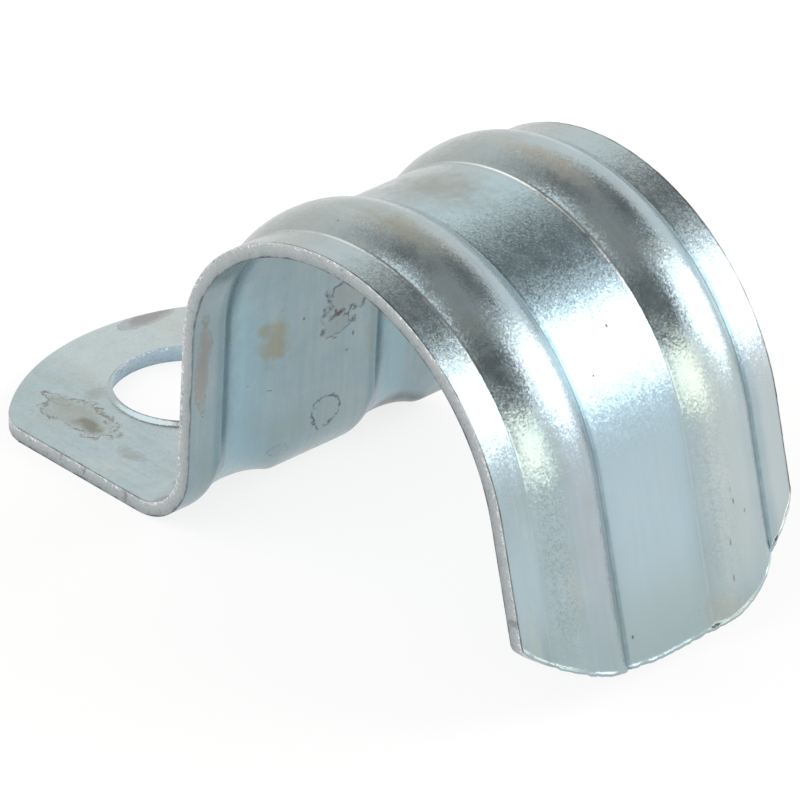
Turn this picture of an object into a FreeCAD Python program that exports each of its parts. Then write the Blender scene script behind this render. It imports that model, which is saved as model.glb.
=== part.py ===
import FreeCAD, Part
import math
import os
import Sketcher

# One-hole conduit strap, pressed in one piece from flat steel strip.
#
# Frame: the origin is the middle of the screw hole on the underside of the foot,
# +Z points away from the wall that the strap is screwed to, +X runs from the foot
# across the conduit, and +Y runs along the conduit.  All lengths are millimetres.
#
# Along the strip, from the free end: a straight flared leg, the saddle arc that
# seats the conduit, a tighter shoulder arc, a straight wall, the fold and the foot.
# Two ribs of the same gauge as the strip are pressed outward over the saddle, and
# they fade out in the fold, so that the foot lies flat.

V = FreeCAD.Vector

SIZES = {
    "tubeDiameter": 21.3,      # outside diameter of the conduit
    "seatClearance": 1.35,     # how much larger the saddle's inner radius is than the conduit's
    "stripWidth": 19.0,        # width of the strip, along the conduit
    "gauge": 0.8,              # thickness of the sheet, the same everywhere
    "seatHeight": 8.3,         # axis of the saddle above the mounting plane
    "legFlare": 13.0,          # degrees by which the free leg opens outward
    "toeGap": 0.9,             # lowest point of the free leg above the mounting plane
    "toeRadius": 13.0,         # arc that ends the free leg
    "toeOffset": 0.4,          # middle of that arc to the -Y side of the strip's middle
    "shoulderStart": 131.0,    # degrees round the saddle at which the shoulder begins
    "shoulderRadius": 7.9,     # inner radius of the shoulder
    "wallLean": 4.0,           # degrees by which the wall leans in over the saddle
    "foldRadius": 3.3,         # radius of the fold on the upper side of the foot
    "holeDiameter": 8.0,       # screw hole
    "holeSetback": 6.9,        # hole centre to the start of the fold
    "tipReach": 8.0,           # hole centre to the tip of the foot
    "tipRadius": 12.4,         # arc that ends the foot
    "ribPitch": 10.7,          # distance between the middles of the two ribs
    "ribWidth": 4.6,           # rib, from crease to crease
    "ribHeight": 0.72,         # rib, above the outer face of the strip
    "creaseRadius": 0.4,       # hollow along each side of a rib, on the outer face
    "ribFade": 3.5,            # how late in the fold the ribs lose their height
    "ribSpread": 2.2,          # how much wider the ribs are where they run out
    "lipHeight": 0.25,         # lip that the punch draws up round the hole
    "lipLand": 0.1,            # flat top of that lip
    "lipWidth": 0.4,           # lip, across its base
    "trimAllowance": 1.0,      # how far cuts reach past what they cut
}

WORKED = {
    "seatRadius": "Sizes.tubeDiameter / 2 + Sizes.seatClearance",
    "foldOuter": "Sizes.foldRadius + Sizes.gauge",
    "archStep": "seatRadius - Sizes.shoulderRadius",
    "wallRise": "Sizes.seatHeight - foldOuter + archStep * sin(Sizes.shoulderStart)",
    "wallDrop": "(foldOuter + Sizes.shoulderRadius) * sin(Sizes.wallLean)",
    "wallLength": "(wallRise + wallDrop) / cos(Sizes.wallLean)",
    "shoulderX": "Sizes.holeSetback + (foldOuter + Sizes.shoulderRadius) * cos(Sizes.wallLean)"
                 " + wallLength * sin(Sizes.wallLean)",
    "shoulderZ": "Sizes.seatHeight + archStep * sin(Sizes.shoulderStart)",
    "seatX": "shoulderX - archStep * cos(Sizes.shoulderStart)",
    "seatSweep": "Sizes.shoulderStart - Sizes.legFlare",
    "shoulderSweep": "180 - Sizes.wallLean - Sizes.shoulderStart",
    "toeDrop": "Sizes.seatHeight + seatRadius * sin(Sizes.legFlare) - Sizes.toeGap",
    "legLength": "toeDrop / cos(Sizes.legFlare)",
    "foldSweep": "90 - Sizes.wallLean",
    "halfWidth": "Sizes.stripWidth / 2",
    "runInner": "(Sizes.ribPitch - Sizes.ribWidth - Sizes.ribSpread) / 2",
    "runOuter": "(Sizes.ribPitch + Sizes.ribWidth + Sizes.ribSpread) / 2",
}

# Steps of the fold, from the wall down to the foot: each is ruled straight from one section to
# the next, and with this many its chords stay within a hundredth of a millimetre of the round.
FOLD_STEPS = 12

# Degrees that a turned sketch starts from, because a turn of 0 would lose its axis.
START_TURN = 30

doc = FreeCAD.newDocument("ConduitStrap")


def makeSheet(name, cells, prefix):
    sheet = doc.addObject("Spreadsheet::Sheet", name)
    for row, (alias, value) in enumerate(cells.items(), start=1):
        sheet.set(f"A{row}", alias)
        sheet.set(f"B{row}", prefix + str(value))
        sheet.setAlias(f"B{row}", alias)
    doc.recompute()
    return sheet


sizes = makeSheet("Sizes", SIZES, "")
worked = makeSheet("Worked", WORKED, "=")
body = doc.addObject("PartDesign::Body", "strap")
body.Label = "strap"
planes = {f.Role: f for f in body.Origin.OriginFeatures}


def value(name):
    sheet = sizes if name in SIZES else worked
    return float(getattr(sheet, name))


def flatSketch(name, plane):
    sketch = body.newObject("Sketcher::SketchObject", name)
    sketch.AttachmentSupport = (planes[plane], [""])
    sketch.MapMode = "FlatFace"
    return sketch


def turnedSketch(name, atX, atZ, turn):
    """A sketch across the strip: its x runs outward from an axis along Y, its y runs along Y."""
    sketch = flatSketch(name, "XY_Plane")
    sketch.AttachmentOffset = FreeCAD.Placement(V(0, 0, 0), FreeCAD.Rotation(V(0, 1, 0), START_TURN))
    sketch.setExpression("AttachmentOffset.Rotation.Angle", turn)
    sketch.setExpression("AttachmentOffset.Base.x", atX)
    sketch.setExpression("AttachmentOffset.Base.z", atZ)
    return sketch


def bind(sketch, kind, refs, name, start, formula):
    """A dimension of a sketch, named and tied to the sheets."""
    index = sketch.addConstraint(Sketcher.Constraint(kind, *refs, start))
    sketch.renameConstraint(index, name)
    sketch.setExpression(f"Constraints.{name}", formula)


def ribbedSection(sketch, faceFormula, face, outward, share=0.0):
    """The strip cut across: flanges, middle band and two ribs, of one gauge all over.

    face is the x of the strip's outer face and outward is +1 or -1 along x.
    share is how far the ribs have run out: 0 where they are whole, 1 where they have gone.
    """
    gauge = value("gauge")
    crease = value("creaseRadius")
    half = value("halfWidth")
    rise = value("ribHeight") * (1 - share ** value("ribFade"))
    reach = (value("ribWidth") + value("ribSpread") * share) / 2
    riseFormula = f"Sizes.ribHeight * (1 - {share}^Sizes.ribFade)"
    reachFormula = f"(Sizes.ribWidth + Sizes.ribSpread * {share}) / 2"
    middle = value("ribPitch") / 2
    marks = [-middle - reach, -middle + reach, middle - reach, middle + reach]
    crest = (reach ** 2 + rise ** 2) / (2 * rise) - crease
    slope = math.asin(reach / (crest + crease))
    toward = 0 if outward > 0 else math.pi

    def arc(x, y, radius, first, last):
        a, b = sorted((toward + outward * first, toward + outward * last))
        circle = Part.Circle(V(x, y, 0), V(0, 0, 1), radius)
        return sketch.addGeometry(Part.ArcOfCircle(circle, a, b), False)

    def line(x, y0, y1):
        return sketch.addGeometry(Part.LineSegment(V(x, y0, 0), V(x, y1, 0)), False)

    # Each face is a chain of nine edges, and every fourth one is straight: flange, band, flange.
    faces = []
    for depth in (0.0, gauge):
        x = face - outward * depth
        chain = []
        previous = -half
        for crown, low, high in ((-middle, marks[0], marks[1]), (middle, marks[2], marks[3])):
            chain.append({"id": line(x, previous, low), "near": 1})
            # An arc runs counterclockwise, so which of its ends is met first depends on its bulge.
            hollow = crease + depth
            top = crest - depth
            foot = face + outward * crease
            bump = 1 if outward > 0 else 2
            chain.append({"id": arc(foot, low, hollow, math.pi - slope, math.pi), "near": 3 - bump})
            peak = face + outward * (rise - crest)
            chain.append({"id": arc(peak, crown, top, -slope, slope), "near": bump})
            chain.append({"id": arc(foot, high, hollow, math.pi, math.pi + slope), "near": 3 - bump})
            previous = high
        chain.append({"id": line(x, previous, half), "near": 1})
        faces.append(chain)

    outer, inner = faces
    for chain in faces:
        for here, following in zip(chain, chain[1:]):
            far = 3 - here["near"]
            sketch.addConstraint(
                Sketcher.Constraint("Tangent", here["id"], far, following["id"], following["near"]))
        for item in chain[::4]:
            sketch.addConstraint(Sketcher.Constraint("Vertical", item["id"]))
    for first, last in ((0, 1), (-1, 2)):
        y = -half if first == 0 else half
        edge = sketch.addGeometry(Part.LineSegment(V(face - outward * gauge, y, 0), V(face, y, 0)), False)
        sketch.addConstraint(Sketcher.Constraint("Coincident", edge, 1, inner[first]["id"], last))
        sketch.addConstraint(Sketcher.Constraint("Coincident", edge, 2, outer[first]["id"], last))
        sketch.addConstraint(Sketcher.Constraint("Horizontal", edge))

    innerFace = face - outward * gauge
    innerFaceFormula = f"{faceFormula} {'-' if outward > 0 else '+'} Sizes.gauge"
    for number, item in enumerate(outer[::4]):
        bind(sketch, "DistanceX", (-1, 1, item["id"], 1), f"outerFace{number}", face, faceFormula)
    for number, item in enumerate(inner[::4]):
        bind(sketch, "DistanceX", (-1, 1, item["id"], 1), f"innerFace{number}", innerFace, innerFaceFormula)
    bind(sketch, "DistanceY", (outer[0]["id"], 1, -1, 1), "edgeLow", half, "Worked.halfWidth")
    bind(sketch, "DistanceY", (-1, 1, outer[8]["id"], 2), "edgeHigh", half, "Worked.halfWidth")
    outerFormula = f"Sizes.ribPitch / 2 + {reachFormula}"
    innerFormula = f"Sizes.ribPitch / 2 - {reachFormula}"
    bind(sketch, "DistanceY", (outer[0]["id"], 2, -1, 1), "markA", -marks[0], outerFormula)
    bind(sketch, "DistanceY", (outer[4]["id"], 1, -1, 1), "markB", -marks[1], innerFormula)
    bind(sketch, "DistanceY", (-1, 1, outer[4]["id"], 2), "markC", marks[2], innerFormula)
    bind(sketch, "DistanceY", (-1, 1, outer[8]["id"], 1), "markD", marks[3], outerFormula)
    crestFormula = f"(({reachFormula})^2 + ({riseFormula})^2) / (2 * ({riseFormula})) - Sizes.creaseRadius"
    for number, start in enumerate((0, 4)):
        for side in (1, 3):
            bind(sketch, "Radius", (outer[start + side]["id"],), f"crease{number}{side}", crease,
                 "Sizes.creaseRadius")
            sketch.addConstraint(Sketcher.Constraint(
                "Coincident", inner[start + side]["id"], 3, outer[start + side]["id"], 3))
        bind(sketch, "Radius", (outer[start + 2]["id"],), f"crestOuter{number}", crest, crestFormula)
        bind(sketch, "Radius", (inner[start + 2]["id"],), f"crestInner{number}", crest - gauge,
             f"{crestFormula} - Sizes.gauge")


def grow(kind, name, sketch):
    feature = body.newObject(kind, name)
    feature.Profile = sketch
    return feature


def flatSection(sketch, face, faceFormula):
    """The end of the fold, where the ribs have run out: the ribbed section's edges, all straight."""
    half = value("halfWidth")
    outerMark = value("runOuter")
    innerMark = value("runInner")
    crease = value("creaseRadius")
    marks = [
        (-half, "Worked.halfWidth"),
        (-outerMark, "Worked.runOuter"),
        (-outerMark + crease, "Worked.runOuter - Sizes.creaseRadius"),
        (-innerMark - crease, "Worked.runInner + Sizes.creaseRadius"),
        (-innerMark, "Worked.runInner"),
        (innerMark, "Worked.runInner"),
        (innerMark + crease, "Worked.runInner + Sizes.creaseRadius"),
        (outerMark - crease, "Worked.runOuter - Sizes.creaseRadius"),
        (outerMark, "Worked.runOuter"),
        (half, "Worked.halfWidth"),
    ]
    chains = []
    for number, x in enumerate((face, face + value("gauge"))):
        chain = []
        for (y0, _), (y1, _) in zip(marks, marks[1:]):
            chain.append(sketch.addGeometry(Part.LineSegment(V(x, y0, 0), V(x, y1, 0)), False))
            sketch.addConstraint(Sketcher.Constraint("Vertical", chain[-1]))
        for here, following in zip(chain, chain[1:]):
            sketch.addConstraint(Sketcher.Constraint("Coincident", here, 2, following, 1))
        for step, (y, formula) in enumerate(marks[:-1]):
            refs = (chain[step], 1, -1, 1) if y < 0 else (-1, 1, chain[step], 1)
            bind(sketch, "DistanceY", refs, f"mark{number}{step}", abs(y), formula)
        bind(sketch, "DistanceY", (-1, 1, chain[-1], 2), f"mark{number}9", half, marks[-1][1])
        chains.append(chain)
    bind(sketch, "DistanceX", (-1, 1, chains[0][0], 1), "outerFace", face, faceFormula)
    bind(sketch, "DistanceX", (-1, 1, chains[1][0], 1), "innerFace", face + value("gauge"),
         f"{faceFormula} + Sizes.gauge")
    for item, end, y in ((0, 1, -half), (-1, 2, half)):
        edge = sketch.addGeometry(Part.LineSegment(V(face, y, 0), V(face + value("gauge"), y, 0)), False)
        sketch.addConstraint(Sketcher.Constraint("Coincident", edge, 1, chains[0][item], end))
        sketch.addConstraint(Sketcher.Constraint("Coincident", edge, 2, chains[1][item], end))


# Saddle arc: the section stands at the top of the leg and turns about the saddle's axis.
saddleSection = turnedSketch("saddleSection", "Worked.seatX", "Sizes.seatHeight", "-Sizes.legFlare")
saddleOuter = value("seatRadius") + value("gauge")
ribbedSection(saddleSection, "Worked.seatRadius + Sizes.gauge", saddleOuter, 1)
doc.recompute()
saddle = grow("PartDesign::Revolution", "saddle", saddleSection)
saddle.ReferenceAxis = (saddleSection, ["V_Axis"])
saddle.Reversed = True
saddle.setExpression("Angle", "Worked.seatSweep")
doc.recompute()

# Free leg: the same section, run straight down past the toe and trimmed to an arc.
leg = grow("PartDesign::Pad", "leg", saddleSection)
leg.Reversed = True
leg.setExpression("Length", "Worked.legLength + Sizes.trimAllowance")

# Shoulder: the ribbed section turns on about a tighter axis, down to the wall.
shoulderSection = turnedSketch(
    "shoulderSection", "Worked.shoulderX", "Worked.shoulderZ", "-Sizes.shoulderStart")
shoulderOuter = value("shoulderRadius") + value("gauge")
ribbedSection(shoulderSection, "Sizes.shoulderRadius + Sizes.gauge", shoulderOuter, 1)
doc.recompute()
shoulder = grow("PartDesign::Revolution", "shoulder", shoulderSection)
shoulder.ReferenceAxis = (shoulderSection, ["V_Axis"])
shoulder.Reversed = True
shoulder.setExpression("Angle", "Worked.shoulderSweep")

# Fold sections: they stand round the axis of the fold, and the ribs sink as they turn to the foot.
foldSections = []
for step in range(FOLD_STEPS + 1):
    share = step / FOLD_STEPS
    sketch = turnedSketch(f"foldSection{step}", "Sizes.holeSetback", "Worked.foldOuter",
                         f"Sizes.wallLean + Worked.foldSweep * {step} / {FOLD_STEPS}")
    if step < FOLD_STEPS:
        ribbedSection(sketch, "Sizes.foldRadius", value("foldRadius"), -1, share)
    else:
        flatSection(sketch, value("foldRadius"), "Sizes.foldRadius")
    foldSections.append(sketch)
doc.recompute()

# Wall: the first of those sections, run straight up to the shoulder.
wall = grow("PartDesign::Pad", "wall", foldSections[0])
wall.setExpression("Length", "Worked.wallLength")
doc.recompute()

# Fold with the run-out of the ribs.
fold = grow("PartDesign::AdditiveLoft", "fold", foldSections[0])
fold.Sections = [(sketch, [""]) for sketch in foldSections[1:]]
fold.Ruled = True
doc.recompute()

# Foot: flat, with an arc for its tip and the screw hole.
footOutline = flatSketch("footOutline", "XY_Plane")
half = value("halfWidth")
setback = value("holeSetback")
tipRadius = value("tipRadius")
tipCentre = tipRadius - value("tipReach")
tipAngle = math.asin(half / tipRadius)
cornerX = tipCentre - tipRadius * math.cos(tipAngle)
tipCircle = Part.Circle(V(tipCentre, 0, 0), V(0, 0, 1), tipRadius)
tip = footOutline.addGeometry(Part.ArcOfCircle(tipCircle, math.pi - tipAngle, math.pi + tipAngle))
lowSide = footOutline.addGeometry(Part.LineSegment(V(cornerX, -half, 0), V(setback, -half, 0)))
foldSide = footOutline.addGeometry(Part.LineSegment(V(setback, -half, 0), V(setback, half, 0)))
highSide = footOutline.addGeometry(Part.LineSegment(V(setback, half, 0), V(cornerX, half, 0)))
outlineEdges = [tip, lowSide, foldSide, highSide]
for here, following in zip(outlineEdges, outlineEdges[1:] + outlineEdges[:1]):
    footOutline.addConstraint(Sketcher.Constraint("Coincident", here, 2, following, 1))
footOutline.addConstraint(Sketcher.Constraint("Horizontal", lowSide))
footOutline.addConstraint(Sketcher.Constraint("Horizontal", highSide))
footOutline.addConstraint(Sketcher.Constraint("Vertical", foldSide))
footOutline.addConstraint(Sketcher.Constraint("PointOnObject", tip, 3, -1))
bind(footOutline, "DistanceX", (-1, 1, foldSide, 1), "setback", setback, "Sizes.holeSetback")
bind(footOutline, "DistanceY", (foldSide, 1, -1, 1), "lowEdge", half, "Worked.halfWidth")
bind(footOutline, "DistanceY", (-1, 1, foldSide, 2), "highEdge", half, "Worked.halfWidth")
bind(footOutline, "Radius", (tip,), "tipRadius", tipRadius, "Sizes.tipRadius")
bind(footOutline, "DistanceX", (-1, 1, tip, 3), "tipCentre", tipCentre, "Sizes.tipRadius - Sizes.tipReach")
hole = footOutline.addGeometry(Part.Circle(V(0, 0, 0), V(0, 0, 1), value("holeDiameter") / 2))
footOutline.addConstraint(Sketcher.Constraint("Coincident", hole, 3, -1, 1))
bind(footOutline, "Diameter", (hole,), "holeDiameter", value("holeDiameter"), "Sizes.holeDiameter")
doc.recompute()
foot = grow("PartDesign::Pad", "foot", footOutline)
foot.setExpression("Length", "Sizes.gauge")
doc.recompute()

# Lip round the screw hole, drawn up by the punch.
lipSection = flatSketch("lipSection", "XZ_Plane")
bore = value("holeDiameter") / 2
boreFormula = "Sizes.holeDiameter / 2"
lipFoot = value("gauge") / 2
lipPoints = [
    (bore, lipFoot, boreFormula, "Sizes.gauge / 2"),
    (bore + value("lipWidth"), lipFoot, f"{boreFormula} + Sizes.lipWidth", "Sizes.gauge / 2"),
    (bore + value("lipWidth"), value("gauge"), f"{boreFormula} + Sizes.lipWidth", "Sizes.gauge"),
    (bore + value("lipLand"), value("gauge") + value("lipHeight"), f"{boreFormula} + Sizes.lipLand",
     "Sizes.gauge + Sizes.lipHeight"),
    (bore, value("gauge") + value("lipHeight"), boreFormula, "Sizes.gauge + Sizes.lipHeight"),
]
lipEdges = []
for here, following in zip(lipPoints, lipPoints[1:] + lipPoints[:1]):
    lipEdges.append(lipSection.addGeometry(Part.LineSegment(V(*here[:2], 0), V(*following[:2], 0))))
for here, following in zip(lipEdges, lipEdges[1:] + lipEdges[:1]):
    lipSection.addConstraint(Sketcher.Constraint("Coincident", here, 2, following, 1))
for number, (x, z, xFormula, zFormula) in enumerate(lipPoints):
    bind(lipSection, "DistanceX", (-1, 1, lipEdges[number], 1), f"across{number}", x, xFormula)
    bind(lipSection, "DistanceY", (-1, 1, lipEdges[number], 1), f"up{number}", z, zFormula)
doc.recompute()
lip = grow("PartDesign::Revolution", "lip", lipSection)
lip.ReferenceAxis = (lipSection, ["V_Axis"])
doc.recompute()

# Toe: the free leg is trimmed to an arc, square to the sheet.
toeTrim = turnedSketch("toeTrim", "Worked.seatX", "Sizes.seatHeight", "90 - Sizes.legFlare")
toeRadius = value("toeRadius")
spare = value("trimAllowance")
toeCentre = value("legLength") - toeRadius
toeOffset = value("toeOffset")
angleLow = -math.asin((half - toeOffset) / toeRadius)
angleHigh = math.asin((half + toeOffset) / toeRadius)
cornerLow = toeCentre + toeRadius * math.cos(angleLow)
cornerHigh = toeCentre + toeRadius * math.cos(angleHigh)
trimEnd = value("legLength") + 2 * spare
toeCircle = Part.Circle(V(toeCentre, -toeOffset, 0), V(0, 0, 1), toeRadius)
toe = toeTrim.addGeometry(Part.ArcOfCircle(toeCircle, angleLow, angleHigh))
trimPoints = [
    (cornerHigh, half),
    (cornerHigh, half + spare),
    (trimEnd, half + spare),
    (trimEnd, -half - spare),
    (cornerLow, -half - spare),
    (cornerLow, -half),
]
trimEdges = []
for here, following in zip(trimPoints, trimPoints[1:]):
    trimEdges.append(toeTrim.addGeometry(Part.LineSegment(V(*here, 0), V(*following, 0))))
trimChain = [toe] + trimEdges
for here, following in zip(trimChain, trimChain[1:] + trimChain[:1]):
    toeTrim.addConstraint(Sketcher.Constraint("Coincident", here, 2, following, 1))
for number, edge in enumerate(trimEdges):
    toeTrim.addConstraint(Sketcher.Constraint("Horizontal" if number in (1, 3) else "Vertical", edge))
bind(toeTrim, "DistanceY", (toe, 3, -1, 1), "toeOffset", toeOffset, "Sizes.toeOffset")
bind(toeTrim, "Radius", (toe,), "toeRadius", toeRadius, "Sizes.toeRadius")
bind(toeTrim, "DistanceX", (-1, 1, toe, 3), "toeCentre", toeCentre, "Worked.legLength - Sizes.toeRadius")
bind(toeTrim, "DistanceY", (-1, 1, toe, 2), "cornerHigh", half, "Worked.halfWidth")
bind(toeTrim, "DistanceY", (toe, 1, -1, 1), "cornerLow", half, "Worked.halfWidth")
bind(toeTrim, "DistanceX", (-1, 1, trimEdges[2], 1), "trimEnd", trimEnd,
     "Worked.legLength + 2 * Sizes.trimAllowance")
bind(toeTrim, "DistanceY", (-1, 1, trimEdges[2], 1), "spareHigh", half + spare,
     "Worked.halfWidth + Sizes.trimAllowance")
bind(toeTrim, "DistanceY", (trimEdges[2], 2, -1, 1), "spareLow", half + spare,
     "Worked.halfWidth + Sizes.trimAllowance")
doc.recompute()
untrimmed = body.Shape.Volume
toeCut = grow("PartDesign::Pocket", "toeCut", toeTrim)
toeCut.Reversed = True
toeCut.setExpression("Length", "Worked.seatRadius + Sizes.gauge + Sizes.ribHeight + Sizes.trimAllowance")
doc.recompute()
leastTrim = value("stripWidth") * value("gauge") * spare
if untrimmed - body.Shape.Volume < leastTrim:
    raise RuntimeError("the toe is not trimmed")

for item in doc.Objects:
    if "Invalid" in item.State or "Error" in item.State:
        raise RuntimeError(f"{item.Name} did not build: {item.State}")
if body.Shape.isNull() or not body.Shape.isValid() or len(body.Shape.Solids) != 1:
    raise RuntimeError("the strap is not one valid solid")

os.makedirs("parts", exist_ok=True)
body.Shape.exportStep(f"parts/{body.Label}.step")
print(body.Label, "volume", round(body.Shape.Volume, 3), "faces", len(body.Shape.Faces))
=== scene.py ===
import math

import bmesh
import bpy
from mathutils import Matrix, Vector, noise


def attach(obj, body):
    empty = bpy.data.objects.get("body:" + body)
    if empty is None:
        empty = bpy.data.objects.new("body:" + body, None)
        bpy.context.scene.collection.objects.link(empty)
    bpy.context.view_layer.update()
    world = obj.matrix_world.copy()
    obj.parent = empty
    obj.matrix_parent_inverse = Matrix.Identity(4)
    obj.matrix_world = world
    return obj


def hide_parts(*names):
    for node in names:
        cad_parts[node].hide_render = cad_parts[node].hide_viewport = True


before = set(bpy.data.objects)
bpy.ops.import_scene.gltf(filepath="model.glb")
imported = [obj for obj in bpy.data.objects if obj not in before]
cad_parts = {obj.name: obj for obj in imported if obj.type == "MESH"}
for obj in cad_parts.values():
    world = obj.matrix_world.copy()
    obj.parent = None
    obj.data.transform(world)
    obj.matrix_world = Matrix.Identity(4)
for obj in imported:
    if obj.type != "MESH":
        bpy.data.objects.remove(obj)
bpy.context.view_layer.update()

addToScene = bpy.context.scene.collection.objects.link
mm = 0.001
uvScale = 0.01              # the strap's UV map is its flat blank, 100 mm to the unit

# settings that many nodes share
smooth = {"interpolation_type": "SMOOTHSTEP"}
ofColor = {"data_type": "RGBA"}


def toLinear(hexColor):
    channels = [int(hexColor[i:i + 2], 16) / 255 for i in (1, 3, 5)]
    return [c / 12.92 if c <= 0.04045 else ((c + 0.055) / 1.055) ** 2.4 for c in channels] + [1.0]


def addNode(tree, kind, inputs=None, settings=None):
    # shader nodes go without the "ShaderNode" of their kind; inputs are values or the sockets that feed it,
    # settings its own properties or one word, its operation; what comes back is its outputs
    node = tree.nodes.new(kind if "Node" in kind else "ShaderNode" + kind)
    if isinstance(settings, str):
        settings = {"operation": settings}
    for key, value in (settings or {}).items():
        setattr(node, key, value)
    for key, value in (inputs or {}).items():
        if isinstance(value, bpy.types.NodeSocket):
            tree.links.new(value, node.inputs[key])
        else:
            node.inputs[key].default_value = value
    return node.outputs


def fillRamp(ramp, stops):
    elements = ramp[0].node.color_ramp.elements
    while len(elements) < len(stops):
        elements.new(0.5)
    for element, (position, color) in zip(elements, stops):
        element.position = position
        element.color = color


# Camera

view = {
    "azimuth": 47.61,       # degrees round from the -Y side
    "elevation": 30.04,     # degrees above the floor
    "target": (22.87, -5.57, 11.93),   # mm
    "distance": 397.7,      # mm from the target
    "lens": 356.3,
}


def makeCamera():
    azimuth = math.radians(view["azimuth"])
    elevation = math.radians(view["elevation"])
    toCamera = Vector((math.sin(azimuth) * math.cos(elevation),
                       -math.cos(azimuth) * math.cos(elevation),
                       math.sin(elevation)))
    camera = bpy.data.objects.new("camera", bpy.data.cameras.new("camera"))
    camera.data.lens = view["lens"]
    camera.data.clip_start = 0.01
    camera.location = (Vector(view["target"]) + toCamera * view["distance"]) * mm
    camera.rotation_euler = toCamera.to_track_quat("Z", "Y").to_euler()
    addToScene(camera)
    bpy.context.scene.camera = camera


makeCamera()
print("camera placed")


# The strip: a flat blank, pressed and bent along its profile. All sizes are in mm.

strip = {
    "width": 19.0,
    "gauge": 0.8,
    "seatRadius": 12.0,         # saddle, inner face
    "seatHeight": 8.3,
    "legFlare": 13.0,           # degrees
    "toeGap": 0.9,
    "toeRadius": 13.0,
    "toeOffset": 0.4,
    "toeHang": (4.1, 2.1, 0.42),    # the shear left the far rib's end longer: at y, half width, how much
    "toeCorners": (0.225, 0.75),    # rounding of the toe's near and far corners
    "toeNick": (8.6, 0.15),     # small step by the far corner: at y, how deep
    "toeRagged": 0.07,          # unevenness of the toe's line
    "toeWaves": [(2.3, 4.0, 1.0), (7.0, 9.0, 0.6)],     # its waves: how many to the mm, which ones, share
    "burr": (0.24, 0.07),       # width and height of the burr along the toe
    "burrSection": (0.35, 0.45),    # where it is highest, from the toe, and its slope, as shares of its width
    "burrShares": (0.75, 0.1),  # how much of that height it has on average, and at least
    "burrWaves": [(1.4, 2.0, 0.9), (5.0, 7.0, 0.7)],
    "burrLumps": [(-9.1, 0.22, 1.4), (3.1, 0.14, 2.0), (7.9, 0.2, 1.0)],    # at y, half width, share
    "ragged": (0.018, 3.0, 0.1),    # unevenness of the long edges, waves of it to the mm, how far in it goes
    "shoulderStart": 131.0,     # degrees round the saddle
    "shoulderRadius": 7.9,
    "wallLean": 4.0,            # degrees
    "foldRadius": 3.3,
    "tipReach": 8.0,
    "tipRadius": 12.4,
    "tipCorner": 0.9,
    "holeRadius": 4.0,
    "holeSetback": 6.9,
    "edgeRound": 0.06,          # rounding of the sheared edges
}

ribs = {
    "pitch": 10.7,
    "width": 4.6,
    "height": 0.72,
    "nearCrease": 0.3,          # radius of the hollow beside a rib, on the side of the near edge
    "farCrease": 0.22,          # and on the other side
    "crestShift": 0.42,         # the crests lean away from the near edge
    "farReach": 0.2,            # and their steep side runs out a little wider
    "farTrim": 0.25,            # less on the rib by the far edge
    "fade": 3.5,                # how late in the fold the ribs lose their height
    "spread": 2.2,              # how much wider they run out
}

lip = {
    "height": 0.25,             # drawn up round the hole
    "width": 0.36,
    "under": 0.2,               # rounding below
}

blankGrid = {
    "rowStep": 0.26,            # rows along the strip
    "toeRows": [0.4, 0.32, 0.25, 0.19, 0.13, 0.07, 0.0],    # and the last ones, by how far off the toe is
    "edgeBand": 0.35,           # closer columns along each sheared edge
    "creaseBand": 0.32,         # and on each side of a crease
    "edgeGap": 0.4,             # least room between a crease and the edge
    "columns": {"edge": 5, "crease": 6, "crest": 20, "band": 22, "far": 4},
    "evenOut": 1.2,             # where the ribs end, the columns even out over this much of the foot
    "holePatch": 1.3,           # least width of the ring of faces round the hole
    "rings": [0.25, 0.45, 0.6, 0.7, 0.76, 0.81, 0.85, 0.88, 0.91, 0.94, 0.96, 0.98, 1.0],
}


def arcPoints(centre, radius, start, end, step=0.05):
    count = max(2, int(abs(math.radians(end - start)) * radius / step))
    angles = [math.radians(start + (end - start) * i / count) for i in range(count + 1)]
    return [(centre[0] + radius * math.cos(a), centre[1] + radius * math.sin(a)) for a in angles]


def makeProfile():
    # outer face of the sheet from the tip of the foot to the toe of the leg, and how far along each stretch ends
    gauge = strip["gauge"]
    lean, flare = math.radians(strip["wallLean"]), math.radians(strip["legFlare"])
    start = math.radians(strip["shoulderStart"])
    foldOuter = strip["foldRadius"] + gauge
    archStep = strip["seatRadius"] - strip["shoulderRadius"]
    shoulderZ = strip["seatHeight"] + archStep * math.sin(start)
    wall = (shoulderZ - foldOuter + (foldOuter + strip["shoulderRadius"]) * math.sin(lean)) / math.cos(lean)
    shoulderX = (strip["holeSetback"] + (foldOuter + strip["shoulderRadius"]) * math.cos(lean)
                 + wall * math.sin(lean))
    seatX = shoulderX - archStep * math.cos(start)
    legHeight = strip["seatHeight"] + strip["seatRadius"] * math.sin(flare) - strip["toeGap"]
    legLength = legHeight / math.cos(flare)
    outer = strip["seatRadius"] + gauge
    fold = arcPoints((strip["holeSetback"], foldOuter), strip["foldRadius"], -90, -strip["wallLean"])
    shoulder = arcPoints((shoulderX, shoulderZ), strip["shoulderRadius"] + gauge,
                         180 - strip["wallLean"], strip["shoulderStart"])
    saddle = arcPoints((seatX, strip["seatHeight"]), outer, strip["shoulderStart"], strip["legFlare"])
    legTop = saddle[-1]
    toe = (legTop[0] + math.sin(flare) * legLength, legTop[1] - math.cos(flare) * legLength)
    foot, wall, leg = [(-strip["tipReach"], gauge), fold[0]], [fold[-1], shoulder[0]], [legTop, toe]
    points, ends, run = [foot[0]], [], 0.0
    for stretch in (foot, fold, wall, shoulder, saddle, leg):
        for a, b in zip(stretch, stretch[1:]):
            run += math.dist(a, b)
            points.append(b)
        ends.append(run)
    return points, ends


profile, (footEnd, foldEnd, _, shoulderEnd, saddleEnd, legEnd) = makeProfile()


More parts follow.
